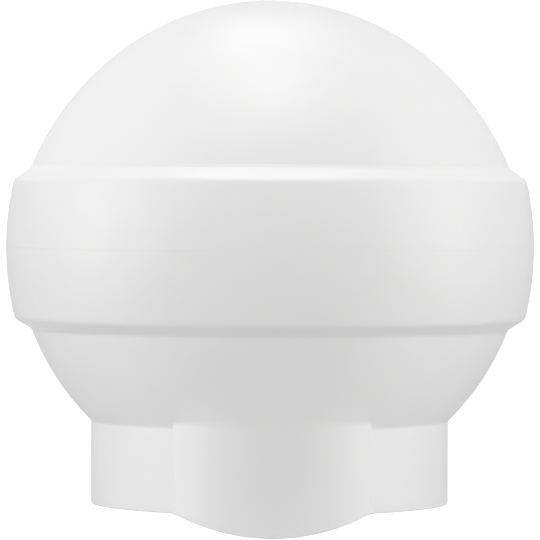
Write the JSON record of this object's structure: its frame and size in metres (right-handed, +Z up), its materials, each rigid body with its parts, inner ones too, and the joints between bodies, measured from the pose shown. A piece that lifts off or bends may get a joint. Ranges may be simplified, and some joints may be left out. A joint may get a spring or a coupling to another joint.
{
  "type": "fence post cap",
  "caption": "White hollow ball cap with a raised belt and a lobed collar that pushes onto a studded T fence post.",
  "frame": {"origin": "where the fence post's end stops, on the ball's axis: the centre of the stop plate's lower face", "axes": "+Z up out of the dome; the post leaves along -Z; the collar's front lobe faces -Y and the post's studs face +Y"},
  "size_m": [0.07, 0.07, 0.0695],
  "materials": {
    "shell_white": "satin moulded",
    "socket_grey": "natural moulded",
    "plate_steel": "zinc plated"
  },
  "bodies": {
    "root": {"upper_shell": "shell_white", "lower_shell": "shell_white", "post_socket": "socket_grey", "stop_plate": "plate_steel"}
  },
  "joints": []
}
